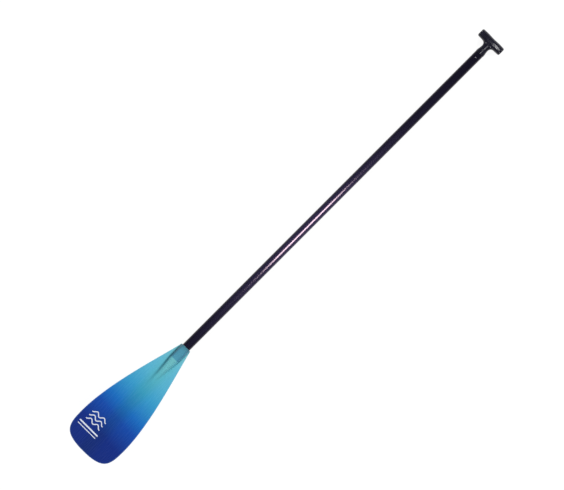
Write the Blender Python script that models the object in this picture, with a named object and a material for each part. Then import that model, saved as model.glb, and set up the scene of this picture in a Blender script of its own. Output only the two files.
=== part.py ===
"""One-piece stand-up paddle, lying on its back with the blade's front face up.

The shaft runs along X, with the grip at +X and the blade's tip at -X. Y is across the blade.
The floor is Z = 0: the neck of the blade and the bar of the grip rest on it, and the blade
rises towards its tip. The origin is on the floor, midway between the grip's top and the tip.
"""

import math

import bmesh
import bpy
import numpy as np
from mathutils import Matrix

MM = 0.001
GAP = 0.3 * MM

# Whole paddle
OVERALL_LENGTH = 1780 * MM
GRIP_TOP_X = OVERALL_LENGTH / 2
BLADE_TIP_X = -OVERALL_LENGTH / 2

# Shaft: a straight carbon tube
SHAFT_RADIUS = 14.3 * MM
SHAFT_WALL = 1.6 * MM
BORE_RADIUS = SHAFT_RADIUS - SHAFT_WALL
TUBE_SIDES = 48
ROUND_SIDES = 36

# Blade: plan lengths are along X, from the neck's edge towards the tip
BLADE_LENGTH = 445.5 * MM
NECK_X = BLADE_TIP_X + BLADE_LENGTH
NECK_HALF_WIDTH = 18 * MM
BLADE_HALF_WIDTH = 90 * MM
WIDEST_AT = 360 * MM
TIP_HALF_WIDTH = 12 * MM
SIDE_HANDLES = ((84 * MM, 38.3 * MM), (243 * MM, BLADE_HALF_WIDTH))
TIP_HANDLES = ((419 * MM, BLADE_HALF_WIDTH), (442.5 * MM, 84 * MM))
SOCKET_DEPTH = 50 * MM
SOCKET_RADIUS = 16.6 * MM
SKIN = 1.3 * MM
FLANGE_ROOT = 1.25 * MM
FLANGE_RIM = 0.9 * MM
BLADE_ANGLE = math.radians(10)
BEND_START = 42 * MM
BEND_RADIUS = 480 * MM
SWEEP = 5 * MM
SWEEP_SPAN = (60 * MM, 250 * MM)
SPINE_TAPER = 150 * MM
SPINE_TAPER_POWER = 1.15
SPINE_FALL_POWER = 1.5
FRONT_SPINE_END = 200 * MM
BACK_SPINE_END = 185 * MM
BELL_SPAN = (50 * MM, 130 * MM)
BELL_POWER = 2.5
SPINE_CORE_END = 132 * MM
FLAT_SPAN = (180 * MM, 300 * MM)
FLAT_CENTRE_SHARE = 0.2
ARC_STEPS = 7
FLANGE_STEPS = 5

# Grip: heights are along X, from the collar's lower edge
BAR_LENGTH = 90 * MM
BAR_HALF_HEIGHT = 14.2 * MM
BAR_HALF_DEPTH = 17.4 * MM
BAR_WAIST = 0.9 * MM
BAR_SWELL_AT = 23 * MM
BAR_END_TAPER = 0.7 * MM
BAR_END_ROUND = 4 * MM
BAR_SIDES = 36
BAR_CENTRE = 51.3 * MM
COLLAR_X = GRIP_TOP_X - BAR_CENTRE - BAR_HALF_HEIGHT
COLLAR_RADIUS = 14.9 * MM
WAIST_RADIUS = 12.4 * MM
COLLAR_LENGTH = 4 * MM
WAIST_AT = 23 * MM
BAR_UNDERSIDE = BAR_CENTRE - BAR_HALF_HEIGHT
SIDE_FILLET = 13 * MM
FRONT_FILLET = 1.9 * MM
SPIGOT_RADIUS = 11.5 * MM
SPIGOT_LENGTH = 70 * MM
GLUE_GROOVE = 0.4 * MM
GROOVE_HALF_WIDTH = 1.5 * MM
GROOVE_EDGE = 0.5 * MM
GLUE_GROOVES_AT = (-58 * MM, -44 * MM, -30 * MM)
SPIGOT_BORE = 8.5 * MM
SPIGOT_BORE_TOP = 26 * MM

# Screw through the shaft into the spigot
SCREW_BELOW_COLLAR = 15.6 * MM
SCREW_X = COLLAR_X - SCREW_BELOW_COLLAR
SCREW_SHANK = 1.2 * MM
SCREW_POINT = 0.5 * MM
SCREW_HEAD = 2.1 * MM
SCREW_HEAD_HEIGHT = 0.8 * MM
SCREW_HEAD_RIM = 0.16 * MM
SCREW_TIP_HEIGHT = 9 * MM
SCREW_SLOT_WIDTH = 0.5 * MM
SCREW_SLOT_DEPTH = 0.35 * MM
SCREW_RING_SPACING = 5 * MM

# Glue sleeves and foam plugs
NECK_GLUE_RADII = (14.55 * MM, 15.0 * MM)
NECK_GLUE_SPAN = (2 * MM, 48 * MM)
GRIP_GLUE_RADII = (11.85 * MM, 12.4 * MM)
GRIP_GLUE_SPAN = (-66 * MM, -20 * MM)
PLUG_CHAMFER = 1 * MM
LOWER_PLUG_INSET = 2 * MM
LOWER_PLUG_LENGTH = 45 * MM
UPPER_PLUG_LENGTH = 30 * MM
UPPER_PLUG_BELOW_SPIGOT = 5 * MM

# The neck's underside touches the floor
AXIS_HEIGHT = SOCKET_RADIUS
FRONT, BACK = 1, -1


def clear_scene():
    for obj in list(bpy.data.objects):
        bpy.data.objects.remove(obj)


def material(name, colour, roughness, metallic=0.0):
    made = bpy.data.materials.new(name)
    made.use_nodes = True
    shader = made.node_tree.nodes["Principled BSDF"]
    shader.inputs["Base Color"].default_value = (*colour, 1)
    shader.inputs["Roughness"].default_value = roughness
    shader.inputs["Metallic"].default_value = metallic
    return made


def add_object(name, bm, finish, location=(0, 0, AXIS_HEIGHT)):
    """Makes one object from a closed bmesh, with its faces pointing out."""
    bmesh.ops.recalc_face_normals(bm, faces=bm.faces)
    mesh = bpy.data.meshes.new(name)
    bm.to_mesh(mesh)
    bm.free()
    mesh.shade_smooth()
    mesh.set_sharp_from_angle(angle=math.radians(35))
    obj = bpy.data.objects.new(name, mesh)
    obj.location = location
    bpy.context.scene.collection.objects.link(obj)
    obj.data.materials.append(finish)
    return obj


def boolean(target, other, operation):
    """Adds an exact Boolean to target and makes the other object its hidden helper."""
    other.hide_render = True
    other.display_type = "WIRE"
    modifier = target.modifiers.new(other.name, "BOOLEAN")
    modifier.operation = operation
    modifier.object = other


def smooth_step(value, low, high):
    share = min(max((value - low) / (high - low), 0), 1)
    return share * share * (3 - 2 * share)


def ring(bm, points):
    return [bm.verts.new(point) for point in points]


def join_rings(bm, first, second, closed=True):
    count = len(first)
    for i in range(count if closed else count - 1):
        j = (i + 1) % count
        bm.faces.new((first[i], first[j], second[j], second[i]))


def circle(x, radius_y, radius_z, sides=ROUND_SIDES):
    """Points of an ellipse round the X axis."""
    angles = (2 * math.pi * i / sides for i in range(sides))
    return [(x, radius_y * math.cos(a), radius_z * math.sin(a)) for a in angles]


def solid_loft(sections):
    """A closed body through rings of points, with flat ends."""
    bm = bmesh.new()
    rings = [ring(bm, section) for section in sections]
    for first, second in zip(rings, rings[1:]):
        join_rings(bm, first, second)
    bm.faces.new(rings[0])
    bm.faces.new(rings[-1])
    return bm


def turned_solid(profile):
    """A body turned about X from (x, radius) pairs."""
    return solid_loft([circle(x, radius, radius) for x, radius in profile])


def turned_tube(stops, inner, outer, sides=ROUND_SIDES):
    """A tube along X with square, open ends and a ring of points at each stop."""
    bm = bmesh.new()
    corners = [(x, outer) for x in stops] + [(x, inner) for x in reversed(stops)]
    rings = [ring(bm, circle(x, radius, radius, sides)) for x, radius in corners]
    for i, first in enumerate(rings):
        join_rings(bm, first, rings[(i + 1) % len(rings)])
    return bm


# Blade


def bezier(start, first, second, end, share):
    points = np.array((start, first, second, end))
    weights = np.array(
        ((1 - share) ** 3, 3 * share * (1 - share) ** 2, 3 * share**2 * (1 - share), share**3)
    )
    return weights @ points


def blade_stations():
    """(distance from the neck's edge, half width) pairs: the flaring side, then the round tip."""
    neck = (0, NECK_HALF_WIDTH)
    widest = (WIDEST_AT, BLADE_HALF_WIDTH)
    tip = (BLADE_LENGTH, TIP_HALF_WIDTH)
    shares = np.linspace(0, 1, 200)
    side = np.array([bezier(neck, *SIDE_HANDLES, widest, share) for share in shares])
    shares = np.linspace(0, 1, 12)
    corner = [tuple(bezier(widest, *TIP_HANDLES, tip, share)) for share in shares]
    return [(x, float(np.interp(x, *side.T))) for x in side_distances()] + corner


def side_distances():
    """Where the sections of the blade lie: close together along the spine, wider apart below it."""
    socket = np.linspace(0, SOCKET_DEPTH, 4)
    spine = np.linspace(SOCKET_DEPTH, SPINE_CORE_END, 12)[1:]
    lower = np.linspace(SPINE_CORE_END, WIDEST_AT, 11)[1:-1]
    return [*socket, *spine, *lower]


def centre_height(distance):
    """Height of the blade's middle surface above the axis: straight, a round bend, straight."""
    past = distance - BEND_START
    bend_length = BEND_RADIUS * math.sin(BLADE_ANGLE)
    if past <= 0:
        return 0
    if past < bend_length:
        return BEND_RADIUS - math.sqrt(BEND_RADIUS**2 - past**2)
    bend_rise = BEND_RADIUS * (1 - math.cos(BLADE_ANGLE))
    return bend_rise + (past - bend_length) * math.tan(BLADE_ANGLE)


def surface_height(distance, y):
    """The middle surface, with both sides of the blade swept up a little."""
    sweep = SWEEP * smooth_step(distance, *SWEEP_SPAN)
    return centre_height(distance) + sweep * (y / BLADE_HALF_WIDTH) ** 2


def spine_half_width(distance):
    past = max(distance - SOCKET_DEPTH, 0)
    return SOCKET_RADIUS / (1 + (past / SPINE_TAPER) ** SPINE_TAPER_POWER)


def spine_height(distance, side):
    end = FRONT_SPINE_END if side == FRONT else BACK_SPINE_END
    fade = 1 - smooth_step(distance, SOCKET_DEPTH, end)
    return SOCKET_RADIUS * fade**SPINE_FALL_POWER


def spine_share(distance, rise):
    """Share of the spine's height where a round one would rise by this share.

    The spine is round over the shaft and bell-shaped past its end.
    """
    power = 1 + (BELL_POWER - 1) * smooth_step(distance, *BELL_SPAN)
    return max(rise, 0) ** power


def half_section(distance, half_width, side):
    """Outer and inner (y, height) points of one skin, from the blade's centre line to its rim."""
    flat_share = smooth_step(distance, *FLAT_SPAN)
    root = spine_half_width(distance) + FLAT_CENTRE_SHARE * half_width * flat_share
    inner_root = root - SKIN * (1 - flat_share)
    height = spine_height(distance, side)
    outer, inner = [], []
    for i in range(ARC_STEPS + 1):
        angle = math.pi / 2 * (1 - i / ARC_STEPS)
        share = spine_share(distance, math.sin(angle))
        outer_z = max(GAP / 2 + FLANGE_ROOT, height * share)
        inner_z = max(GAP / 2, (height - SKIN) * share)
        outer.append((root * math.cos(angle), outer_z))
        inner.append((inner_root * math.cos(angle), inner_z))
    for i in range(1, FLANGE_STEPS + 1):
        share = i / FLANGE_STEPS
        thickness = FLANGE_ROOT + (FLANGE_RIM - FLANGE_ROOT) * share**2
        outer.append((root + (half_width - root) * share, GAP / 2 + thickness))
        inner.append((inner_root + (half_width - inner_root) * share, GAP / 2))
    return outer, inner


def full_section(distance, half, side):
    """The points from one rim over the centre line to the other rim."""
    both = [(-y, z) for y, z in reversed(half[1:])] + half
    x = NECK_X - distance
    return [(x, y, surface_height(distance, y) + side * z) for y, z in both]


def blade_skin(name, side, finish):
    bm = bmesh.new()
    loops = []
    for distance, half_width in blade_stations():
        outer, inner = half_section(distance, half_width, side)
        outer_ring = ring(bm, full_section(distance, outer, side))
        inner_ring = ring(bm, full_section(distance, inner, side))
        loops.append((outer_ring, inner_ring))
    for (outer, inner), (next_outer, next_inner) in zip(loops, loops[1:]):
        join_rings(bm, outer + inner[::-1], next_outer + next_inner[::-1])
    for outer, inner in (loops[0], loops[-1]):
        join_rings(bm, outer, inner, closed=False)
    return add_object(name, bm, finish)


def blade_core(finish):
    """Foam wedge that fills the spine from the end of the shaft."""
    sections = []
    inset = SKIN + GAP
    inside = [x for x in side_distances() if SOCKET_DEPTH < x <= SPINE_CORE_END]
    for distance in [SOCKET_DEPTH + GAP, *inside]:
        half_width = spine_half_width(distance) - inset
        heights = {side: spine_height(distance, side) - inset for side in (FRONT, BACK)}
        section = []
        for i in range(4 * ARC_STEPS):
            angle = math.pi / 2 * i / ARC_STEPS
            side = FRONT if i <= 2 * ARC_STEPS else BACK
            z = side * heights[side] * spine_share(distance, side * math.sin(angle))
            y = half_width * math.cos(angle)
            section.append((NECK_X - distance, y, centre_height(distance) + z))
        sections.append(section)
    return add_object("blade_spine_core", solid_loft(sections), finish)


# Shaft and what is inside it


def shaft(finish):
    """The tube, with a ring of points on each side of the screw's hole."""
    beside_screw = (SCREW_X - SCREW_RING_SPACING, SCREW_X + SCREW_RING_SPACING)
    stops = (NECK_X - SOCKET_DEPTH, *beside_screw, COLLAR_X - GAP)
    bm = turned_tube(stops, BORE_RADIUS, SHAFT_RADIUS, TUBE_SIDES)
    return add_object("shaft_tube", bm, finish)


def glue_sleeves(neck_finish, grip_finish):
    neck_stops = [NECK_X - distance for distance in reversed(NECK_GLUE_SPAN)]
    add_object("neck_adhesive", turned_tube(neck_stops, *NECK_GLUE_RADII), neck_finish)
    grip_stops = [COLLAR_X + height for height in GRIP_GLUE_SPAN]
    add_object("grip_adhesive", turned_tube(grip_stops, *GRIP_GLUE_RADII), grip_finish)


def foam_plug(name, low, length, finish):
    radius = BORE_RADIUS - GAP
    profile = (
        (low, radius - PLUG_CHAMFER),
        (low + PLUG_CHAMFER, radius),
        (low + length - PLUG_CHAMFER, radius),
        (low + length, radius - PLUG_CHAMFER),
    )
    return add_object(name, turned_solid(profile), finish)


def foam_plugs(finish):
    lower = NECK_X - SOCKET_DEPTH + LOWER_PLUG_INSET
    foam_plug("shaft_lower_plug", lower, LOWER_PLUG_LENGTH, finish)
    upper_top = COLLAR_X - SPIGOT_LENGTH - UPPER_PLUG_BELOW_SPIGOT
    foam_plug("shaft_upper_plug", upper_top - UPPER_PLUG_LENGTH, UPPER_PLUG_LENGTH, finish)


# Grip


def bar_section(y, inset):
    """Section of the grip's bar across Y: an oval with a flat underside.

    The bar swells a little on both sides of its middle, for the fingers.
    """
    taper = BAR_END_TAPER * smooth_step(abs(y), BAR_LENGTH / 4, BAR_LENGTH / 2)
    waist = BAR_WAIST * (1 - smooth_step(abs(y), 0, BAR_SWELL_AT))
    half_height = BAR_HALF_HEIGHT - waist - taper - inset
    half_depth = BAR_HALF_DEPTH - taper - inset
    points = []
    for i in range(BAR_SIDES):
        angle = 2 * math.pi * i / BAR_SIDES
        z = half_depth * math.sin(angle)
        z = min(max(z, inset - AXIS_HEIGHT), AXIS_HEIGHT - inset)
        points.append((COLLAR_X + BAR_CENTRE + half_height * math.cos(angle), y, z))
    return points


def grip_bar(finish):
    """The bar with rounded edges round its two flat ends."""
    half = BAR_LENGTH / 2
    ends = []
    for i in range(5):
        angle = math.pi / 2 * i / 4
        inset = BAR_END_ROUND * (1 - math.cos(angle))
        ends.append((half - BAR_END_ROUND * (1 - math.sin(angle)), inset))
    outer = list(reversed(ends))
    middle = [(y, 0) for y in np.linspace(half - BAR_END_ROUND, BAR_END_ROUND - half, 11)[1:-1]]
    stations = outer + middle + [(-y, inset) for y, inset in ends]
    sections = [bar_section(y, inset) for y, inset in stations]
    return add_object("grip_body", solid_loft(sections), finish)


def neck_profile():
    """(height, radius) pairs from the spigot's end, over the collar, up to the neck's waist."""
    chamfer_top = PLUG_CHAMFER - SPIGOT_LENGTH
    profile = [(-SPIGOT_LENGTH, SPIGOT_RADIUS - PLUG_CHAMFER), (chamfer_top, SPIGOT_RADIUS)]
    outside = GROOVE_HALF_WIDTH + GROOVE_EDGE
    for groove in GLUE_GROOVES_AT:
        profile.append((groove - outside, SPIGOT_RADIUS))
        profile.append((groove - GROOVE_HALF_WIDTH, SPIGOT_RADIUS - GLUE_GROOVE))
        profile.append((groove + GROOVE_HALF_WIDTH, SPIGOT_RADIUS - GLUE_GROOVE))
        profile.append((groove + outside, SPIGOT_RADIUS))
    profile += [(0, SPIGOT_RADIUS), (0, COLLAR_RADIUS - GAP), (GAP, COLLAR_RADIUS)]
    for height in np.linspace(COLLAR_LENGTH, WAIST_AT, 7):
        fall = smooth_step(height, COLLAR_LENGTH, WAIST_AT)
        profile.append((height, COLLAR_RADIUS + (WAIST_RADIUS - COLLAR_RADIUS) * fall))
    return profile


def fillet_point(angle, share):
    """(height, radius) on the fillet from the neck into the bar, at this angle round X.

    The fillet is a parabola, tangent to the neck at its start and to the bar's oval at its end.
    """
    reach = FRONT_FILLET + (SIDE_FILLET - FRONT_FILLET) * math.cos(angle) ** 2
    radius = WAIST_RADIUS + reach
    across = radius * math.sin(angle) / BAR_HALF_DEPTH
    drop = math.sqrt(1 - across**2)
    end = np.array((BAR_CENTRE - BAR_HALF_HEIGHT * drop, radius))
    slope = BAR_HALF_HEIGHT * across**2 / (radius * drop)
    corner = np.array((end[0] - slope * reach, WAIST_RADIUS))
    start = corner - (np.linalg.norm(end - corner), 0)
    return (1 - share) ** 2 * start + 2 * share * (1 - share) * corner + share**2 * end


def fillet_ring(share, sunk=0):
    """A ring of the fillet; sunk moves it up into the bar and inwards."""
    points = []
    for i in range(ROUND_SIDES):
        angle = 2 * math.pi * i / ROUND_SIDES
        height, radius = fillet_point(angle, share)
        radius -= sunk / 2
        x = COLLAR_X + height + sunk
        points.append((x, radius * math.cos(angle), radius * math.sin(angle)))
    return points


def grip_neck(finish):
    sections = [circle(COLLAR_X + height, radius, radius) for height, radius in neck_profile()]
    sections += [fillet_ring(share) for share in np.linspace(0, 1, 8)]
    sections.append(fillet_ring(1, sunk=4 * MM))
    sections.append(circle(COLLAR_X + BAR_CENTRE, WAIST_RADIUS, WAIST_RADIUS))
    return add_object("grip_neck_shape", solid_loft(sections), finish)


def spigot_bore(finish):
    profile = ((-SPIGOT_LENGTH - PLUG_CHAMFER, SPIGOT_BORE), (SPIGOT_BORE_TOP, SPIGOT_BORE))
    bm = turned_solid([(COLLAR_X + height, radius) for height, radius in profile])
    return add_object("spigot_bore_shape", bm, finish)


def screw(finish):
    """Round-headed screw along Z: the shank, then a low dome with a straight slot."""
    head_seat = SHAFT_RADIUS + GAP
    profile = [
        (SCREW_TIP_HEIGHT, SCREW_POINT),
        (SCREW_TIP_HEIGHT + SCREW_SHANK, SCREW_SHANK),
        (head_seat, SCREW_SHANK),
        (head_seat, SCREW_HEAD),
    ]
    dome = SCREW_HEAD_HEIGHT - SCREW_HEAD_RIM
    for i in range(4):
        angle = math.pi / 2 * i / 4
        height = head_seat + SCREW_HEAD_RIM + dome * math.sin(angle)
        profile.append((height, SCREW_HEAD * math.cos(angle)))
    bm = solid_loft([circle(x, radius, radius, 24) for x, radius in profile])
    bmesh.ops.rotate(bm, verts=bm.verts, matrix=Matrix.Rotation(-math.pi / 2, 3, "Y"))
    return add_object("grip_screw", bm, finish, (SCREW_X, 0, AXIS_HEIGHT))


def screw_hole(finish):
    """Helper cylinder along Z for the screw's clearance hole in the tube and the spigot."""
    low, high = SPIGOT_BORE - 2 * MM, 2 * SHAFT_RADIUS
    radius = SCREW_SHANK + GAP
    bm = bmesh.new()
    bmesh.ops.create_cone(
        bm, cap_ends=True, segments=16, radius1=radius, radius2=radius, depth=high - low
    )
    bmesh.ops.translate(bm, verts=bm.verts, vec=(SCREW_X, 0, (low + high) / 2))
    return add_object("screw_hole_shape", bm, finish)


def screw_slot(finish):
    """Helper bar for the straight slot across the screw's head."""
    top = SHAFT_RADIUS + GAP + SCREW_HEAD_HEIGHT
    bm = bmesh.new()
    bmesh.ops.create_cube(bm, size=1)
    size = (4 * SCREW_HEAD, SCREW_SLOT_WIDTH, 2 * SCREW_SLOT_DEPTH)
    bmesh.ops.scale(bm, verts=bm.verts, vec=size)
    bmesh.ops.translate(bm, verts=bm.verts, vec=(SCREW_X, 0, top))
    return add_object("screw_slot_shape", bm, finish)


def main():
    clear_scene()
    laminate = material("fibreglass", (0.03, 0.28, 0.62), 0.32)
    back_laminate = material("fibreglass_back", (0.03, 0.24, 0.55), 0.35)
    carbon = material("carbon", (0.012, 0.011, 0.018), 0.25)
    plastic = material("grip", (0.014, 0.013, 0.02), 0.3)
    foam = material("foam", (0.75, 0.78, 0.62), 0.9)
    epoxy = material("epoxy", (0.16, 0.24, 0.27), 0.4)
    glue = material("hot_melt", (0.72, 0.62, 0.38), 0.5)
    steel = material("screw", (0.62, 0.62, 0.64), 0.35, 1)

    blade_skin("blade_front_skin", FRONT, laminate)
    blade_skin("blade_back_skin", BACK, back_laminate)
    blade_core(foam)
    tube = shaft(carbon)
    glue_sleeves(epoxy, glue)
    foam_plugs(foam)
    body = grip_bar(plastic)
    boolean(body, grip_neck(plastic), "UNION")
    boolean(body, spigot_bore(plastic), "DIFFERENCE")

    hole = screw_hole(steel)
    boolean(tube, hole, "DIFFERENCE")
    boolean(body, hole, "DIFFERENCE")
    pin = screw(steel)
    boolean(pin, screw_slot(steel), "DIFFERENCE")


main()
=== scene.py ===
"""The looks of a one-piece stand-up paddle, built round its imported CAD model.

The paddle lies on a pale floor and the camera looks straight down on the front face of the blade.
The shaft runs along X with the grip at +X, Y is across the blade, and +Z is up. Sizes are in metres.
"""

import math

import bmesh
import bpy
import numpy as np
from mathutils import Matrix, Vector


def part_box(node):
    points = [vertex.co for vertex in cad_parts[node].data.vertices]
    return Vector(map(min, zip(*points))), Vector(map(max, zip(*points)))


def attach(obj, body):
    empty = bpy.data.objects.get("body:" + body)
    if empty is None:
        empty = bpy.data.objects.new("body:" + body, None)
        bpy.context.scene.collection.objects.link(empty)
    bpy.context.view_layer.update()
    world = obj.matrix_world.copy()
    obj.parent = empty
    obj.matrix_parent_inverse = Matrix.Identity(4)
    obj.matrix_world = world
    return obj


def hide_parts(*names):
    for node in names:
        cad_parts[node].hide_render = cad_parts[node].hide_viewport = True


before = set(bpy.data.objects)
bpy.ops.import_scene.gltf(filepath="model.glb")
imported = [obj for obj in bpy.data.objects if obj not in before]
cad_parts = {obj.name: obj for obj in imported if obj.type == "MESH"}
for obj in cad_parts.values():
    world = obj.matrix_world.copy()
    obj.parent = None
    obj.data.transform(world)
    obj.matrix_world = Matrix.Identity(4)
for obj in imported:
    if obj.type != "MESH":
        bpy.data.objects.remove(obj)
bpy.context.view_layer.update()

MM = 0.001
FRONT, BACK = 1, -1
SHARP_ANGLE = math.radians(40)

# Places and sizes that come from the CAD nodes
BLADE_LOW, BLADE_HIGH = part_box("blade_front_skin")
SHAFT_LOW, SHAFT_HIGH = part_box("shaft_tube")
NECK_X = BLADE_HIGH.x
BLADE_LENGTH = BLADE_HIGH.x - BLADE_LOW.x
BLADE_HALF_WIDTH = BLADE_HIGH.y
AXIS_HEIGHT = (SHAFT_LOW.z + SHAFT_HIGH.z) / 2
SHAFT_RADIUS = SHAFT_HIGH.y
SHAFT_END = NECK_X - SHAFT_LOW.x
SEAM = 0.02 * MM
SOCKET_RADIUS = AXIS_HEIGHT - SEAM

# Blade: the same outline and section as in the CAD model, at a finer step
NECK_HALF_WIDTH = 18 * MM
WIDEST_AT = 360 * MM
TIP_HALF_WIDTH = 12 * MM
SIDE_HANDLES = ((84 * MM, 38.3 * MM), (243 * MM, BLADE_HALF_WIDTH))
TIP_HANDLES = ((419 * MM, BLADE_HALF_WIDTH), (442.5 * MM, 84 * MM))
FLANGE_ROOT = 1.4 * MM
FLANGE_RIM = 1.05 * MM
BLADE_ANGLE = math.radians(10)
BEND_START = 42 * MM
BEND_RADIUS = 480 * MM
SWEEP = 5 * MM
SWEEP_SPAN = (60 * MM, 250 * MM)
SPINE_TAPER = 150 * MM
SPINE_TAPER_POWER = 1.15
SPINE_FALL_POWER = 1.5
SPINE_ENDS = {FRONT: 200 * MM, BACK: 185 * MM}
BELL_SPAN = (50 * MM, 130 * MM)
BELL_POWER = 2.5
SPINE_FILLET = 0.22
LIP_ROUND = 0.6 * MM

# Rows of points across the blade, and points along each half row
CURVE_POINTS = 400
LIP_ROWS = 4
SOCKET_ROWS = 10
SPINE_ROWS = 46
LOWER_ROWS = 18
TIP_ROWS = 34
TIP_FLAT_ROWS = 4
FAN_START = 300 * MM
FAN_END = 398 * MM
FAN_SPREAD = 0.02
SPINE_COLUMNS = 16
SPINE_MOST = 0.8
FLANGE_COLUMNS = 24
FLANGE_CROWDING = 1.3
RIM_COLUMNS = 7

# Printed mark: three waves over two plain rules, on the +Y side near the tip
MARK_DISTANCE = 348 * MM
MARK_CENTRE = 37 * MM
WAVE_SPAN = 54 * MM
WAVE_LENGTH = 27 * MM
WAVE_HEIGHT = 4.5 * MM
WAVE_SPACING = 14 * MM
WAVE_STROKE = 3.1 * MM
WAVE_POINTS = 61
RULE_LENGTH = 72 * MM
RULES = ((383 * MM, 4.5 * MM), (393 * MM, 2.5 * MM))
RULE_POINTS = 31
INK_RISE = 0.1 * MM
INK_SUNK = 0.1 * MM
INK_END_STEPS = 5
INK_END_WIDTH = 0.05

# Shaft, resin and grip
ROUND_SIDES = 96
SHAFT_WALL = 1.6 * MM
SHAFT_EDGE = 0.25 * MM
SHAFT_RINGS = 60
RESIN_INNER = SHAFT_RADIUS + 0.02 * MM
RESIN_OUTER = 15.1 * MM
BEAD_LENGTH = 1.1 * MM
BEAD_OUTER = RESIN_OUTER + 0.5 * MM
BEAD_POWER = 1.2
BEAD_STEPS = 6
GRIP_WELD = 0.005 * MM
GRIP_VOXEL = 0.75 * MM
GRIP_SMOOTHING = (0.5, 14)

# Blade colour: (distance from the neck, display colour), aqua to navy
BLADE_FADE = (
    (0, (118, 192, 207)),
    (70 * MM, (99, 183, 208)),
    (130 * MM, (86, 177, 207)),
    (190 * MM, (57, 155, 201)),
    (260 * MM, (25, 107, 188)),
    (300 * MM, (21, 74, 166)),
    (370 * MM, (19, 46, 129)),
    (BLADE_LENGTH, (23, 45, 122)),
)
# Painted shade: the fade is slanted across the blade, so the +Y side is darker and the -Y side
# lighter, as the light falls from -Y
SIDE_SHADE_SLANT = 0.08
FADE_DRIFT = 10 * MM
DRIFT_SCALE = 9
CENTRE_BAND = (4 * MM, 38 * MM)
CENTRE_TINT = (0.97, 0.98, 0.82, 1)
CORE_COLOUR = (116, 187, 190)
CORE_FADE = (60 * MM, 150 * MM)
CORE_EDGE = (3 * MM, 14 * MM)
SHAFT_THROUGH = ((0, (66, 124, 143)), (0.3, (74, 143, 168)), (1, (77, 149, 175)))
SHAFT_SHOWS = 0.94
SHAFT_END_BLUR = 1 * MM
SHAFT_SIDE_BLUR = 2.5 * MM
# Painted light along the rim: the colour mixed in, and the band from the rim over which it fades out
PAINTED_RIM_LIGHT = (150, 200, 235)
PAINTED_RIM_LIGHT_BAND = (0.3 * MM, 3.5 * MM)
CLOTH_PITCH = 2.2 * MM

# Painted shade in the valleys beside the spine, deeper on the +Y side. Each row holds: its share at
# -Y and at +Y, how far past the spine's edge it is darkest, its width, where it fades out along the
# blade, and its tint
VALLEY_BLEND = 5 * MM
PAINTED_VALLEY_SHADES = (
    ((0, 1), -1 * MM, 7 * MM, (46 * MM, 180 * MM), (0.29, 0.39, 0.44, 1)),
    ((1, 0), -2.8 * MM, 6 * MM, (40 * MM, 80 * MM), (0.5, 0.72, 0.84, 1)),
)

# Carbon cloth and the grip's parting line
TOWS_ROUND = 40
PARTING_HALF_WIDTH = 0.35 * MM

# Stage, lights and camera
FLOOR_GLOW = 0.93
FLOOR_HALF_SIZE = 9.0
FLOOR_DROP = 0.2 * MM
WORLD_STRENGTH = 0.09
KEY_PLACE = (0.07, -0.14, 0.435)
KEY_TARGET = (0.07, 0, 0.02)
KEY_SIZE = (0.31, 0.2)
KEY_POWER = 14.3
KEY_TINT = (1.0, 0.86, 0.92)
GLINT_PLACE = (0.889, -0.0245, 0.18)
GLINT_TARGET = (0.8765, -0.0245, 0.03)
GLINT_SIZE = (0.008, 0.12)
GLINT_POWER = 0.14
CORNER_X = 4.4
CORNER_Y = 2.5
CORNER_HEIGHT = 4.0
CORNER_SIZE = (1.3, 1.3)
CORNER_POWERS = ((-CORNER_Y, 165), (CORNER_Y, 154))
CORNER_AIM = 0.3
CAMERA_HEIGHT = 60.0
SENSOR_WIDTH = 36
VIEW_WIDTH = 1.7256
VIEW_CENTRE = (-0.0151, 0.0138)
VIEW_TURN = math.radians(-45.04)


def smooth_step(value, low, high):
    share = min(max((value - low) / (high - low), 0), 1)
    return share * share * (3 - 2 * share)


# Meshes


def new_piece(name, bm, finish, slot, *replaced):
    """Turns a bmesh into a smooth-shaded piece that rides on the paddle."""
    bmesh.ops.recalc_face_normals(bm, faces=bm.faces)
    mesh = bpy.data.meshes.new(name)
    bm.to_mesh(mesh)
    bm.free()
    mesh.shade_smooth()
    mesh.set_sharp_from_angle(angle=SHARP_ANGLE)
    mesh.materials.append(finish)
    obj = bpy.data.objects.new(name, mesh)
    bpy.context.scene.collection.objects.link(obj)
    if replaced:
        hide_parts(*replaced)
    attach(obj, "root")
    return obj


def join_rings(bm, first, second):
    """Faces between two closed rings of points."""
    count = len(first)
    for i in range(count):
        j = (i + 1) % count
        bm.faces.new((first[i], first[j], second[j], second[i]))


def turned_ring(bm, x, radius, sides):
    """Ring of points round the shaft's axis."""
    points = []
    for i in range(sides):
        angle = 2 * math.pi * i / sides
        y, z = radius * math.cos(angle), radius * math.sin(angle)
        points.append(bm.verts.new((x, y, AXIS_HEIGHT + z)))
    return points


def turned_loop(profile, sides):
    """A body turned round the shaft's axis from a closed loop of (x, radius) points."""
    bm = bmesh.new()
    rings = [turned_ring(bm, x, radius, sides) for x, radius in profile]
    for i, first in enumerate(rings):
        join_rings(bm, first, rings[(i + 1) % len(rings)])
    return bm


# Blade


def centre_height(distance):
    """Height of the middle surface over the axis: straight, a round bend, then straight."""
    past = distance - BEND_START
    bend_length = BEND_RADIUS * math.sin(BLADE_ANGLE)
    if past <= 0:
        return 0
    if past < bend_length:
        return BEND_RADIUS - math.sqrt(BEND_RADIUS**2 - past**2)
    bend_rise = BEND_RADIUS * (1 - math.cos(BLADE_ANGLE))
    return bend_rise + (past - bend_length) * math.tan(BLADE_ANGLE)


def surface_height(distance, y):
    """The middle surface, with both sides of the blade swept up a little."""
    sweep = SWEEP * smooth_step(distance, *SWEEP_SPAN)
    return centre_height(distance) + sweep * (y / BLADE_HALF_WIDTH) ** 2


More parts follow.
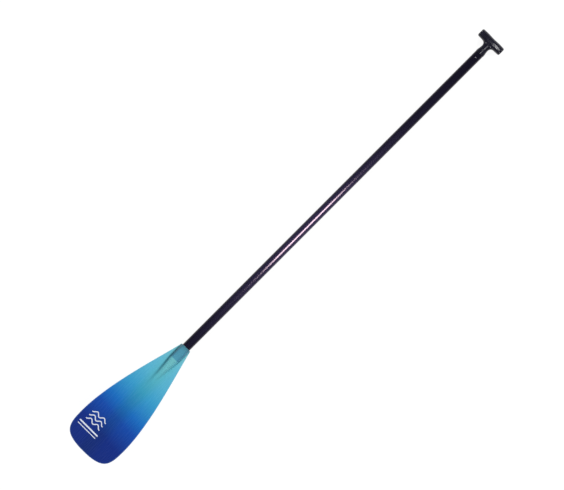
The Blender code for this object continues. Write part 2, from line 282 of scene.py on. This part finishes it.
def spine_half_width(distance):
    past = max(distance - SHAFT_END, 0)
    return SOCKET_RADIUS / (1 + (past / SPINE_TAPER) ** SPINE_TAPER_POWER)


def spine_height(distance, side):
    fade = 1 - smooth_step(distance, SHAFT_END, SPINE_ENDS[side])
    return SOCKET_RADIUS * fade**SPINE_FALL_POWER


def smooth_top(first, second, blend):
    """The higher of two heights, with a round fillet of about this size where they cross."""
    overlap = max(blend - abs(first - second), 0)
    return max(first, second) + overlap**2 / (4 * max(blend, 1e-9))


def skin_height(distance, y, share, side):
    """Height of one skin's outer face over the blade's middle surface.

    The spine is round over the shaft and bell-shaped past its end.
    """
    half_width = spine_half_width(distance)
    peak = spine_height(distance, side)
    power = 1 + (BELL_POWER - 1) * smooth_step(distance, *BELL_SPAN)
    y = abs(y)
    if y < half_width:
        spine = peak * (1 - (y / half_width) ** 2) ** (power / 2)
    else:
        spine = (half_width - y) * peak / half_width
    flange = FLANGE_ROOT + (FLANGE_RIM - FLANGE_ROOT) * share**2
    return smooth_top(spine, flange, SPINE_FILLET * peak)


def bezier(start, first, second, end, share):
    points = np.array((start, first, second, end))
    weights = ((1 - share) ** 3, 3 * share * (1 - share) ** 2, 3 * share**2 * (1 - share), share**3)
    return np.array(weights) @ points


def outline():
    """(distance from the neck's edge, half width) points of one side, from the neck to the tip."""
    neck = (0, NECK_HALF_WIDTH)
    widest = (WIDEST_AT, BLADE_HALF_WIDTH)
    tip = (BLADE_LENGTH, TIP_HALF_WIDTH)
    lip = [LIP_ROUND * (1 - math.cos(angle)) for angle in np.linspace(0, math.pi / 2, LIP_ROWS)]
    shares = np.linspace(0, 1, CURVE_POINTS)
    side = np.array([bezier(neck, *SIDE_HANDLES, widest, share) for share in shares])
    socket = np.linspace(LIP_ROUND, SHAFT_END, SOCKET_ROWS)[1:]
    spine = np.linspace(SHAFT_END, SPINE_ENDS[FRONT], SPINE_ROWS)[1:]
    lower = np.linspace(SPINE_ENDS[FRONT], WIDEST_AT, LOWER_ROWS)[1:-1]
    points = [(x, float(np.interp(x, *side.T))) for x in (*lip, *socket, *spine, *lower)]
    corner = np.linspace(0, 1, TIP_ROWS)
    points += [tuple(bezier(widest, *TIP_HANDLES, tip, share)) for share in corner]
    for i in range(1, TIP_FLAT_ROWS + 1):
        points.append((BLADE_LENGTH, TIP_HALF_WIDTH * (1 - i / TIP_FLAT_ROWS)))
    return points


def fan_centre(distance, half_width):
    """Where the row through this outline point starts on the blade's centre line.

    Rows run straight across the blade, and fan out round the tip. The last two share their
    start, so that no face lies flat on the centre line.
    """
    if distance <= FAN_START:
        return distance
    turn = (distance - FAN_START) / (BLADE_LENGTH - FAN_START)
    turned = FAN_START + (FAN_END - FAN_START) * math.sin(turn * math.pi / 2)
    half_width = max(half_width, TIP_HALF_WIDTH / TIP_FLAT_ROWS)
    past_corner = 1 - min(half_width / BLADE_HALF_WIDTH, 1)
    return min(turned + (BLADE_LENGTH - turned) * FAN_SPREAD * past_corner, distance)


def row_offsets(distance, length):
    """Distances along a row from the centre line: over the spine, over the flange, round the rim."""
    spine = min(spine_half_width(distance), SPINE_MOST * length)
    flat_end = length - FLANGE_RIM
    offsets = [spine * math.sin(math.pi / 2 * i / SPINE_COLUMNS) for i in range(SPINE_COLUMNS)]
    for i in range(FLANGE_COLUMNS):
        share = (i / FLANGE_COLUMNS) ** FLANGE_CROWDING
        offsets.append(spine + (flat_end - spine) * share)
    for i in range(RIM_COLUMNS + 1):
        offsets.append(flat_end + FLANGE_RIM * math.sin(math.pi / 2 * i / RIM_COLUMNS))
    return offsets


def skin_rows(side):
    """Rows of (distance, y, outer height, inner height, distance to the rim) over one half."""
    rows = []
    for distance, half_width in outline():
        centre = fan_centre(distance, half_width)
        span = np.array((distance - centre, half_width))
        length = float(np.hypot(*span))
        lip = math.sqrt(max(1 - (1 - min(distance / LIP_ROUND, 1)) ** 2, 0))
        row = []
        for offset in row_offsets(distance, length):
            x, y = np.array((centre, 0)) + span * offset / length
            to_rim = length - offset
            height = skin_height(x, y, offset / length, side)
            edge = math.sqrt(max(1 - (1 - min(to_rim / FLANGE_RIM, 1)) ** 2, 0))
            outer = (height - LIP_ROUND * (1 - lip)) * edge + SEAM
            inner = max(height - FLANGE_ROOT, 0) * edge + SEAM / 2
            row.append((x, y, outer, inner, to_rim))
        rows.append(row)
    return rows


def add_strip(bm, first, second):
    """Faces between two rows of points, which may share some of them."""
    for i in range(len(first) - 1):
        corners = (first[i], first[i + 1], second[i + 1], second[i])
        unique = list(dict.fromkeys(corners))
        if len(unique) > 2 and bm.faces.get(unique) is None:
            bm.faces.new(unique)


class SkinPoints:
    """The points of one skin, each made once, with its distances to the rim and the spine."""

    def __init__(self, bm, side):
        self.bm = bm
        self.side = side
        self.rim_layer = bm.verts.layers.float.new("to_rim")
        self.beside_layer = bm.verts.layers.float.new("beside_spine")
        self.made = {}

    def at(self, x, y, height, to_rim):
        key = (round(x, 6), round(y, 6), round(height, 6))
        if key not in self.made:
            z = AXIS_HEIGHT + surface_height(x, y) + self.side * height
            vertex = self.bm.verts.new((NECK_X - x, y, z))
            vertex[self.rim_layer] = to_rim
            vertex[self.beside_layer] = abs(y) - spine_half_width(x)
            self.made[key] = vertex
        return self.made[key]


def blade_skin(name, side, finish, slot, node):
    """One moulded skin: both halves of the outer face, closed by the inner face."""
    bm = bmesh.new()
    points = SkinPoints(bm, side)
    rows = skin_rows(side)
    for sign in (1, -1):
        outer = [[points.at(x, sign * y, high, rim) for x, y, high, _, rim in row] for row in rows]
        inner = [[points.at(x, sign * y, low, rim) for x, y, _, low, rim in row] for row in rows]
        for grid in (outer, inner):
            for first, second in zip(grid, grid[1:]):
                add_strip(bm, first, second)
        add_strip(bm, outer[0], inner[0])
        add_strip(bm, [row[-1] for row in outer], [row[-1] for row in inner])
    return new_piece(name, bm, finish, slot, node)


# Printed mark


def ink_point(x, y, rise):
    share = abs(y) / BLADE_HALF_WIDTH
    height = skin_height(x, y, share, FRONT) + SEAM + rise
    return (NECK_X - x, y, AXIS_HEIGHT + surface_height(x, y) + height)


def ink_stroke(bm, path, width):
    """A line of ink with round ends, lying on the front skin along (distance, y) points."""
    path = np.array(path)
    along = np.gradient(path, axis=0)
    along /= np.linalg.norm(along, axis=1)[:, None]
    across = np.column_stack((-along[:, 1], along[:, 0]))
    sections = []
    for i in range(-INK_END_STEPS, len(path) + INK_END_STEPS):
        near = min(max(i, 0), len(path) - 1)
        past = abs(i - near) / INK_END_STEPS * math.pi / 2
        centre = path[near] + along[near] * math.copysign(width / 2 * math.sin(past), i - near)
        sections.append((centre, across[near] * width / 2 * max(math.cos(past), INK_END_WIDTH)))
    rings = []
    for centre, half in sections:
        corners = ((-1, INK_RISE), (1, INK_RISE), (1, -INK_SUNK), (-1, -INK_SUNK))
        points = [ink_point(*(centre + side * half), rise) for side, rise in corners]
        rings.append([bm.verts.new(point) for point in points])
    for first, second in zip(rings, rings[1:]):
        join_rings(bm, first, second)
    bm.faces.new(rings[0])
    bm.faces.new(rings[-1])


def printed_mark(finish):
    bm = bmesh.new()
    for row in (-1, 0, 1):
        path = []
        for share in np.linspace(-0.5, 0.5, WAVE_POINTS):
            y = share * WAVE_SPAN
            rise = WAVE_HEIGHT * math.cos(2 * math.pi * y / WAVE_LENGTH)
            path.append((MARK_DISTANCE + row * WAVE_SPACING + rise, MARK_CENTRE + y))
        ink_stroke(bm, path, WAVE_STROKE)
    start = MARK_CENTRE - RULE_LENGTH / 2
    for distance, width in RULES:
        shares = np.linspace(0, 1, RULE_POINTS)
        ink_stroke(bm, [(distance, start + RULE_LENGTH * share) for share in shares], width)
    return new_piece("printed_mark", bm, finish, "blade_front")


# Shaft, resin and grip


def shaft_tube(finish):
    """The tube, with its two rims eased."""
    low, high = SHAFT_LOW.x, SHAFT_HIGH.x
    bore, rim = SHAFT_RADIUS - SHAFT_WALL, SHAFT_RADIUS - SHAFT_EDGE
    profile = [(low, bore), (low, rim), (low + SHAFT_EDGE, SHAFT_RADIUS)]
    profile += [(x, SHAFT_RADIUS) for x in np.linspace(low, high, SHAFT_RINGS)[1:-1]]
    profile += [(high - SHAFT_EDGE, SHAFT_RADIUS), (high, rim), (high, bore)]
    tube = turned_loop(profile, ROUND_SIDES)
    return new_piece("carbon_shaft", tube, finish, "shaft", "shaft_tube")


def neck_resin(finish):
    """The glue sleeve in the socket, with the bead that it leaves at the blade's mouth."""
    low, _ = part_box("neck_adhesive")
    mouth = NECK_X - LIP_ROUND
    profile = [(low.x, RESIN_INNER), (low.x, RESIN_OUTER), (mouth, RESIN_OUTER)]
    for i in range(BEAD_STEPS + 1):
        along = math.sin(math.pi / 2 * i / BEAD_STEPS)
        height = (BEAD_OUTER - RESIN_INNER) * (1 - along) ** BEAD_POWER
        profile.append((mouth + (BEAD_LENGTH + LIP_ROUND) * along, RESIN_INNER + height))
    sleeve = turned_loop(profile, ROUND_SIDES)
    return new_piece("neck_resin", sleeve, finish, "epoxy", "neck_adhesive")


def moulded_grip(finish):
    """The CAD grip, remeshed finely and smoothed so that the bar flows into the neck."""
    bm = bmesh.new()
    bm.from_mesh(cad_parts["grip_body"].data)
    bmesh.ops.remove_doubles(bm, verts=bm.verts, dist=GRIP_WELD)
    rough = bpy.data.meshes.new("grip_shape")
    bm.to_mesh(rough)
    bm.free()
    obj = bpy.data.objects.new("moulded_grip", rough)
    bpy.context.scene.collection.objects.link(obj)
    remesh = obj.modifiers.new("remesh", "REMESH")
    remesh.mode = "VOXEL"
    remesh.voxel_size = GRIP_VOXEL
    smooth = obj.modifiers.new("smooth", "SMOOTH")
    smooth.factor, smooth.iterations = GRIP_SMOOTHING
    graph = bpy.context.evaluated_depsgraph_get()
    mesh = bpy.data.meshes.new_from_object(obj.evaluated_get(graph))
    obj.modifiers.clear()
    obj.data = mesh
    mesh.shade_smooth()
    mesh.materials.clear()
    mesh.materials.append(finish)
    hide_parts("grip_body")
    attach(obj, "root")
    return obj


# Finishes


def srgb(red, green, blue):
    """A display colour, 0 to 255, as a linear shader colour."""
    shares = (value / 255 for value in (red, green, blue))
    linear = (s / 12.92 if s <= 0.04045 else ((s + 0.055) / 1.055) ** 2.4 for s in shares)
    return (*linear, 1)


class Finish:
    """One material's nodes, with short calls for the nodes that the finishes share."""

    def __init__(self, name, values):
        self.material = bpy.data.materials.new(name)
        self.material.use_nodes = True
        self.tree = self.material.node_tree
        self.shader = self.tree.nodes["Principled BSDF"]
        for socket, value in values.items():
            self.shader.inputs[socket].default_value = value
        place = self.tree.nodes.new("ShaderNodeTexCoord").outputs["Object"]
        split = self.tree.nodes.new("ShaderNodeSeparateXYZ")
        self.tree.links.new(place, split.inputs[0])
        self.place = place
        self.x, self.y, self.z = split.outputs

    def put(self, value, socket):
        if isinstance(value, bpy.types.NodeSocket):
            self.tree.links.new(value, socket)
        else:
            socket.default_value = value

    def math(self, operation, *values):
        node = self.tree.nodes.new("ShaderNodeMath")
        node.operation = operation
        for value, socket in zip(values, node.inputs):
            self.put(value, socket)
        return node.outputs[0]

    def product(self, first, *others):
        for value in others:
            first = self.math("MULTIPLY", first, value)
        return first

    def step(self, value, low, high, start=0.0, end=1.0):
        """Goes smoothly from start to end as value goes from low to high."""
        node = self.tree.nodes.new("ShaderNodeMapRange")
        node.interpolation_type = "SMOOTHSTEP"
        for entry, socket in zip((value, low, high, start, end), node.inputs):
            self.put(entry, socket)
        return node.outputs[0]

    def mix(self, factor, first, second, blend="MIX"):
        node = self.tree.nodes.new("ShaderNodeMix")
        node.data_type = "RGBA"
        node.blend_type = blend
        self.put(factor, node.inputs["Factor"])
        self.put(first, node.inputs[6])
        self.put(second, node.inputs[7])
        return node.outputs[2]

    def ramp(self, factor, stops):
        node = self.tree.nodes.new("ShaderNodeValToRGB")
        elements = node.color_ramp.elements
        while len(elements) < len(stops):
            elements.new(1)
        for element, (position, colour) in zip(elements, stops):
            element.position = position
            element.color = colour
        self.put(factor, node.inputs[0])
        return node.outputs[0]

    def attribute(self, name):
        node = self.tree.nodes.new("ShaderNodeAttribute")
        node.attribute_name = name
        return node.outputs["Fac"]

    def stretched(self, *scales):
        node = self.tree.nodes.new("ShaderNodeMapping")
        self.put(self.place, node.inputs["Vector"])
        node.inputs["Scale"].default_value = scales
        return node.outputs[0]

    def noise(self, scale, detail=3.0, vector=None):
        node = self.tree.nodes.new("ShaderNodeTexNoise")
        self.put(vector or self.place, node.inputs["Vector"])
        node.inputs["Scale"].default_value = scale
        node.inputs["Detail"].default_value = detail
        return node.outputs[0]

    def cells(self, scale):
        node = self.tree.nodes.new("ShaderNodeTexVoronoi")
        self.put(self.place, node.inputs["Vector"])
        node.inputs["Scale"].default_value = scale
        return node.outputs["Distance"]

    def colour(self, value):
        self.put(value, self.shader.inputs["Base Color"])

    def roughness(self, value):
        self.put(value, self.shader.inputs["Roughness"])

    def bump(self, height, distance):
        """Raises the surface by height times distance, in metres."""
        node = self.tree.nodes.new("ShaderNodeBump")
        node.inputs["Distance"].default_value = distance
        self.put(height, node.inputs["Height"])
        self.put(node.outputs[0], self.shader.inputs["Normal"])

    def waves(self, value, pitch):
        """Rises and falls between 0 and 1 once in each pitch."""
        turned = self.product(value, 2 * math.pi / pitch)
        return self.math("MULTIPLY_ADD", self.math("SINE", turned), 0.5, 0.5)

    def around(self, value, centre, width):
        """1 where value is at centre, falling to 0 over about this width on each side."""
        away = self.math("ABSOLUTE", self.math("SUBTRACT", value, centre))
        return self.step(away, 0, width, 1, 0)


def blade_fade(finish, distance, off_centre):
    """Aqua at the neck to navy at the tip, drifting a little, and greener along the middle."""
    stops = [(place / BLADE_LENGTH, srgb(*colour)) for place, colour in BLADE_FADE]
    drift = finish.math("MULTIPLY_ADD", finish.noise(DRIFT_SCALE, 2), FADE_DRIFT, -FADE_DRIFT / 2)
    # Painted shade: slanting the fade darkens the +Y side and lightens the -Y side
    side_shaded = finish.math("MULTIPLY_ADD", finish.y, SIDE_SHADE_SLANT, distance)
    faded = finish.math("ADD", side_shaded, drift)
    colour = finish.ramp(finish.math("DIVIDE", faded, BLADE_LENGTH), stops)
    centre = finish.step(off_centre, *CENTRE_BAND, 0.85, 0)
    return finish.mix(centre, colour, CENTRE_TINT, "MULTIPLY")


def inside_showing(finish, colour, distance, off_centre):
    """The pale foam core and the dark end of the shaft, seen through the skin."""
    core = finish.product(
        finish.step(distance, *CORE_FADE, 0.55, 0),
        finish.step(off_centre, *CORE_EDGE, 1, 0),
    )
    colour = finish.mix(core, colour, srgb(*CORE_COLOUR))
    end_low, end_high = SHAFT_END - SHAFT_END_BLUR, SHAFT_END + SHAFT_END_BLUR
    over_shaft = finish.product(
        finish.step(distance, end_low, end_high, 1, 0),
        finish.step(off_centre, SHAFT_RADIUS, SHAFT_RADIUS + SHAFT_SIDE_BLUR, 1, 0),
        SHAFT_SHOWS,
    )
    stops = [(share, srgb(*shade)) for share, shade in SHAFT_THROUGH]
    through = finish.ramp(finish.math("DIVIDE", distance, SHAFT_END), stops)
    return finish.mix(over_shaft, colour, through)


def painted_valley_shade(finish, colour, distance):
    """Painted shade in the valleys on both sides of the spine, deeper on the +Y side."""
    beside = finish.attribute("beside_spine")
    for side_share, darkest, width, fade, tint in PAINTED_VALLEY_SHADES:
        # Painted shade: darkens the blade's colour beside the spine, where the valley lies in shade
        shade_share = finish.product(
            finish.around(beside, darkest, width),
            finish.step(finish.y, -VALLEY_BLEND, VALLEY_BLEND, *side_share),
            finish.step(distance, *fade, 1, 0),
        )
        colour = finish.mix(shade_share, colour, tint, "MULTIPLY")
    return colour


def blade_finish(name):
    """Glass cloth in tinted resin, with the shaft's end and the core showing through."""
    finish = Finish(name, {"Roughness": 0.28, "IOR": 1.5, "Specular IOR Level": 0.35})
    distance = finish.math("SUBTRACT", NECK_X, finish.x)
    off_centre = finish.math("ABSOLUTE", finish.y)
    colour = blade_fade(finish, distance, off_centre)
    colour = inside_showing(finish, colour, distance, off_centre)
    colour = painted_valley_shade(finish, colour, distance)
    # Painted light: the blade's colour is lightened towards the rim, as if light shone through the
    # thin edge
    rim = finish.step(finish.attribute("to_rim"), *PAINTED_RIM_LIGHT_BAND, 0.16, 0)
    colour = finish.mix(rim, colour, srgb(*PAINTED_RIM_LIGHT))

    weave = finish.product(
        finish.waves(finish.x, CLOTH_PITCH),
        finish.waves(finish.y, CLOTH_PITCH),
    )
    mottle = finish.math("ADD", finish.product(weave, 0.5), finish.noise(160, 4))
    shade = finish.ramp(mottle, [(0.25, (0.93, 0.94, 0.95, 1)), (0.95, (1.05, 1.04, 1.03, 1))])
    finish.colour(finish.mix(1.0, colour, shade, "MULTIPLY"))

    scuffs = finish.noise(30, 6, finish.stretched(1, 14, 1))
    finish.roughness(finish.step(scuffs, 0.35, 0.7, 0.24, 0.31))
    height = finish.math("MULTIPLY_ADD", weave, 0.6, finish.noise(55, 3))
    finish.bump(height, 0.03 * MM)
    return finish.material


def carbon_finish():
    """Twill-woven carbon in glossy, near-black resin."""
    gloss = {"Specular IOR Level": 0.25, "Specular Tint": (1.0, 0.84, 0.92, 1)}
    finish = Finish("woven_carbon", {"Roughness": 0.24, "IOR": 1.5, **gloss})
    turn = finish.math("ARCTAN2", finish.math("SUBTRACT", finish.z, AXIS_HEIGHT), finish.y)
    around = finish.product(turn, TOWS_ROUND / (2 * math.pi))
    along = finish.product(finish.x, TOWS_ROUND / (2 * math.pi * SHAFT_RADIUS))
    cell = finish.math("ADD", finish.math("FLOOR", around), finish.math("FLOOR", along))
    over = finish.math("LESS_THAN", finish.math("FLOORED_MODULO", cell, 4.0), 2.0)
    under = finish.math("SUBTRACT", 1.0, over)
    warp = finish.product(over, finish.waves(around, 1))
    weft = finish.product(under, finish.waves(along, 1))
    tow = finish.math("ADD", warp, weft)
    streaks = finish.noise(420, 3, finish.stretched(0.04, 1, 1))
    base = finish.ramp(streaks, [(0.3, srgb(7, 7, 17)), (0.75, srgb(12, 11, 25))])
    finish.colour(finish.mix(finish.product(tow, 0.5), base, srgb(20, 18, 34)))
    finish.roughness(finish.math("MULTIPLY_ADD", over, 0.05, 0.2))
    finish.bump(finish.math("MULTIPLY_ADD", tow, 0.5, streaks), 0.012 * MM)
    return finish.material


def grip_finish():
    """Moulded black plastic with a fine grain and a parting line along both sides."""
    finish = Finish("moulded_plastic", {"Roughness": 0.2, "IOR": 1.5, "Specular IOR Level": 0.25})
    grain = finish.noise(2600, 2)
    handled = finish.noise(60, 4)
    finish.colour(finish.ramp(handled, [(0.3, srgb(18, 17, 27)), (0.8, srgb(26, 26, 38))]))
    finish.roughness(finish.step(handled, 0.3, 0.75, 0.16, 0.23))
    parting = finish.around(finish.z, AXIS_HEIGHT, PARTING_HALF_WIDTH)
    finish.bump(finish.math("MULTIPLY_ADD", parting, 10.0, grain), 0.008 * MM)
    return finish.material


def ink_finish():
    finish = Finish("white_ink", {"Roughness": 0.42})
    speckle = finish.noise(900, 4)
    finish.colour(finish.ramp(speckle, [(0.3, srgb(205, 214, 228)), (0.6, srgb(226, 231, 240))]))
    finish.roughness(finish.step(speckle, 0.3, 0.7, 0.36, 0.5))
    finish.bump(speckle, 0.01 * MM)
    return finish.material


def resin_finish():
    finish = Finish("set_resin", {"Roughness": 0.22, "IOR": 1.52})
    cloud = finish.noise(180, 4)
    finish.colour(finish.ramp(cloud, [(0.3, srgb(38, 78, 92)), (0.75, srgb(62, 112, 126))]))
    finish.roughness(finish.step(cloud, 0.3, 0.7, 0.18, 0.32))
    finish.bump(cloud, 0.05 * MM)
    return finish.material


def glue_finish():
    finish = Finish("hot_melt", {"Roughness": 0.5})
    cloud = finish.noise(240, 3)
    finish.colour(finish.ramp(cloud, [(0.3, srgb(190, 170, 120)), (0.75, srgb(222, 205, 160))]))
    finish.roughness(finish.step(cloud, 0.3, 0.7, 0.42, 0.6))
    finish.bump(cloud, 0.08 * MM)
    return finish.material


def foam_finish():
    finish = Finish("closed_cell_foam", {"Roughness": 0.9})
    cell = finish.cells(1400)
    finish.colour(finish.ramp(cell, [(0.0, srgb(214, 216, 190)), (0.7, srgb(236, 238, 216))]))
    finish.roughness(finish.step(cell, 0.1, 0.6, 0.95, 0.82))
    finish.bump(cell, 0.25 * MM)
    return finish.material


def steel_finish():
    finish = Finish("screw_steel", {"Roughness": 0.35, "Metallic": 1.0})
    brushed = finish.noise(3000, 3, finish.stretched(0.05, 1, 1))
    dull = finish.noise(900, 4)
    finish.colour(finish.ramp(dull, [(0.3, srgb(120, 118, 128)), (0.7, srgb(178, 176, 184))]))
    finish.roughness(finish.step(brushed, 0.3, 0.7, 0.3, 0.48))
    finish.bump(brushed, 0.01 * MM)
    return finish.material


def floor_finish():
    """White paper that glows a little, as over a light box."""
    glow = {"Emission Color": (1, 1, 1, 1), "Emission Strength": FLOOR_GLOW}
    finish = Finish("white_paper", {"Roughness": 0.85, **glow})
    fibre = finish.noise(400, 3)
    shades = [(0.3, (0.095, 0.095, 0.096, 1)), (0.7, (0.105, 0.105, 0.106, 1))]
    finish.colour(finish.ramp(fibre, shades))
    finish.bump(fibre, 0.02 * MM)
    return finish.material


# Stage, lights and camera


def floor():
    bm = bmesh.new()
    bmesh.ops.create_grid(bm, x_segments=24, y_segments=24, size=FLOOR_HALF_SIZE)
    mesh = bpy.data.meshes.new("floor")
    bm.to_mesh(mesh)
    bm.free()
    mesh.materials.append(floor_finish())
    obj = bpy.data.objects.new("floor", mesh)
    obj.location.z = -FLOOR_DROP
    bpy.context.scene.collection.objects.link(obj)


def soft_light(name, place, target, size, power, tint=(1, 1, 1), lit=()):
    """A rectangular soft box at place, facing target. If it has lit pieces, it lights only those."""
    data = bpy.data.lights.new(name, "AREA")
    data.shape = "RECTANGLE"
    data.size, data.size_y = size
    data.energy = power
    data.color = tint
    obj = bpy.data.objects.new(name, data)
    obj.location = place
    direction = obj.location - Vector(target)
    obj.rotation_euler = direction.to_track_quat("Z", "Y").to_euler()
    obj.visible_camera = False
    bpy.context.scene.collection.objects.link(obj)
    if lit:
        receivers = bpy.data.collections.new(f"{name}_receivers")
        for piece in lit:
            receivers.objects.link(piece)
        obj.light_linking.receiver_collection = receivers


def plain_node(name, finish):
    """A CAD node that stays, with a better finish."""
    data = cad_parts[name].data
    data.materials.clear()
    data.materials.append(finish)


def lights(shaft, grip):
    """A key light for the shaft, a small one for the grip, and four soft corner lights.

    The corner lights stand so far out that neither the shaft nor the grip mirrors them upwards.
    """
    world = bpy.data.worlds.new("studio")
    world.use_nodes = True
    background = world.node_tree.nodes["Background"]
    background.inputs["Color"].default_value = (0.95, 0.97, 1.0, 1)
    background.inputs["Strength"].default_value = WORLD_STRENGTH
    bpy.context.scene.world = world
    soft_light("key", KEY_PLACE, KEY_TARGET, KEY_SIZE, KEY_POWER, KEY_TINT, [shaft])
    soft_light("glint", GLINT_PLACE, GLINT_TARGET, GLINT_SIZE, GLINT_POWER, lit=[grip])
    for x in (-CORNER_X, CORNER_X):
        for y, power in CORNER_POWERS:
            place, target = (x, y, CORNER_HEIGHT), (CORNER_AIM * x, 0, 0)
            soft_light(f"corner_{x:.0f}_{y:.0f}", place, target, CORNER_SIZE, power)


def camera():
    data = bpy.data.cameras.new("camera")
    data.sensor_width = SENSOR_WIDTH
    data.lens = SENSOR_WIDTH * CAMERA_HEIGHT / VIEW_WIDTH
    obj = bpy.data.objects.new("camera", data)
    obj.location = (*VIEW_CENTRE, CAMERA_HEIGHT)
    obj.rotation_euler = (0, 0, VIEW_TURN)
    bpy.context.scene.collection.objects.link(obj)
    bpy.context.scene.camera = obj


def main():
    foam = foam_finish()
    front, back = blade_finish("laminate_front"), blade_finish("laminate_back")
    blade_skin("blade_front", FRONT, front, "blade_front", "blade_front_skin")
    blade_skin("blade_back", BACK, back, "blade_back", "blade_back_skin")
    printed_mark(ink_finish())
    shaft = shaft_tube(carbon_finish())
    neck_resin(resin_finish())
    grip = moulded_grip(grip_finish())
    plain_node("blade_spine_core", foam)
    plain_node("shaft_lower_plug", foam)
    plain_node("shaft_upper_plug", foam)
    plain_node("grip_adhesive", glue_finish())
    plain_node("grip_screw", steel_finish())
    floor()
    lights(shaft, grip)
    camera()
    bpy.context.scene.view_settings.view_transform = "Standard"


main()
